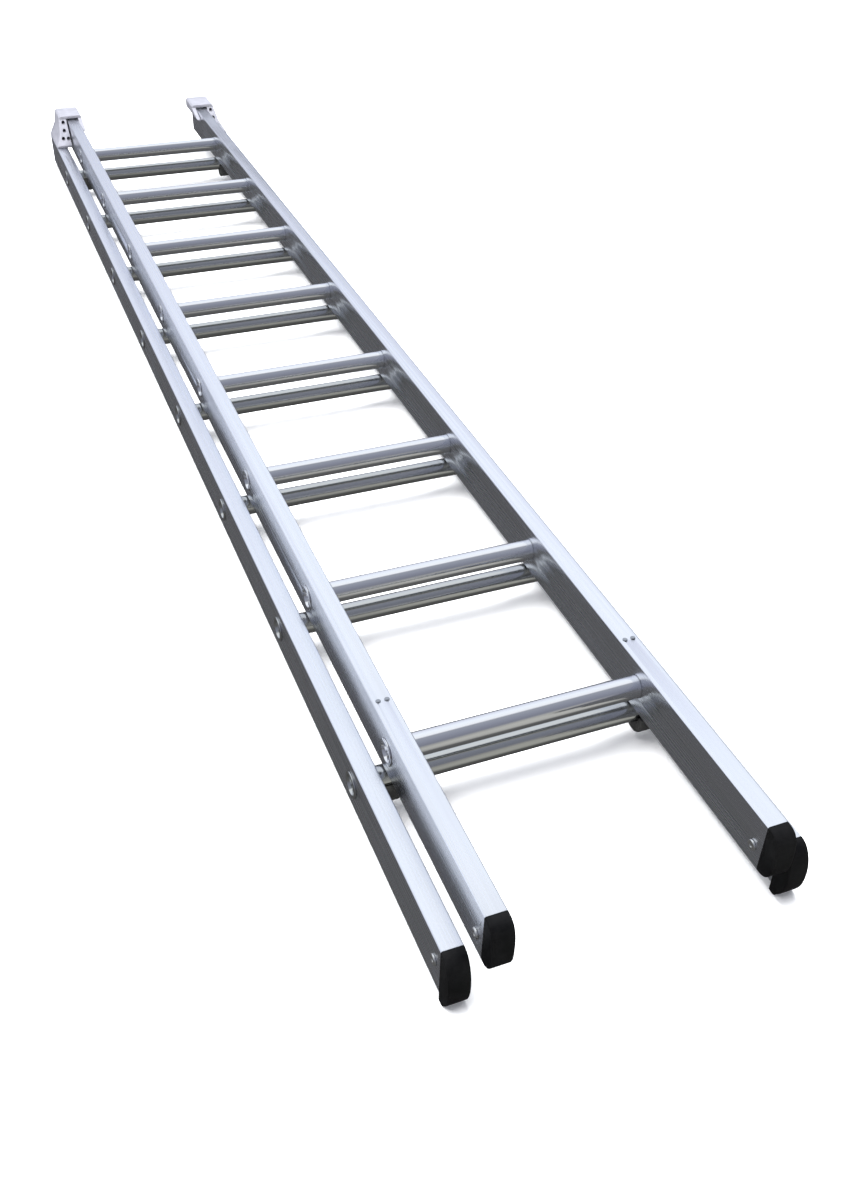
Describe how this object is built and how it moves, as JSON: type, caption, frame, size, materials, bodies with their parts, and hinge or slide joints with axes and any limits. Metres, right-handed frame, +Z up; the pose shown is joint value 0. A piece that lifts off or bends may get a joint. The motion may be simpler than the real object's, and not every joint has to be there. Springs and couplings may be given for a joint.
{
  "type": "extension ladder",
  "caption": "Two-section aluminium extension ladder, box-section stiles and hollow rungs; the fly section slides along the base in head guide brackets.",
  "frame": {"origin": "middle of the closed ladder's footprint, on the floor it lies on", "axes": "+Y from the feet to the head along the stiles, +X across the rungs, to the right seen from the feet, +Z up off the floor, from the base section to the fly section"},
  "size_m": [0.3556, 2.2026, 0.1152],
  "materials": {
    "stile_aluminium": "mill finish extrusion, fine lengthwise lines",
    "rung_aluminium": "mill finish extrusion with a ribbed tread",
    "cast_aluminium": "matt as-cast",
    "black_rubber": "matt moulded",
    "black_nylon": "moulded",
    "rivet_metal": "bright"
  },
  "bodies": {
    "base_section": {"base_stile_left": "stile_aluminium", "base_stile_right": "stile_aluminium", "base_rung_1": "rung_aluminium", "base_rung_2": "rung_aluminium", "base_rung_3": "rung_aluminium", "base_rung_4": "rung_aluminium", "base_rung_5": "rung_aluminium", "base_rung_6": "rung_aluminium", "base_rung_7": "rung_aluminium", "base_rung_8": "rung_aluminium", "base_foot_left": "black_rubber", "base_foot_right": "black_rubber", "base_foot_rivet_left": "rivet_metal", "base_foot_rivet_right": "rivet_metal", "head_guide_left": "cast_aluminium", "head_guide_right": "cast_aluminium", "rung_keeper_foot_left": "black_nylon", "rung_keeper_foot_right": "black_nylon", "rung_keeper_head_left": "black_nylon", "rung_keeper_head_right": "black_nylon"},
    "fly_section": {"fly_stile_left": "stile_aluminium", "fly_stile_right": "stile_aluminium", "fly_rung_1": "rung_aluminium", "fly_rung_2": "rung_aluminium", "fly_rung_3": "rung_aluminium", "fly_rung_4": "rung_aluminium", "fly_rung_5": "rung_aluminium", "fly_rung_6": "rung_aluminium", "fly_rung_7": "rung_aluminium", "fly_rung_8": "rung_aluminium", "fly_foot_left": "black_rubber", "fly_foot_right": "black_rubber", "fly_foot_rivet_left": "rivet_metal", "fly_foot_rivet_right": "rivet_metal", "fly_top_rivet_left_outer": "rivet_metal", "fly_top_rivet_left_inner": "rivet_metal", "fly_top_rivet_right_outer": "rivet_metal", "fly_top_rivet_right_inner": "rivet_metal"}
  },
  "joints": [
    {"name": "fly_slide", "type": "slide", "parent": "base_section", "child": "fly_section", "axis": [0, 1, 0], "range_m": [0, 1.5]}
  ]
}
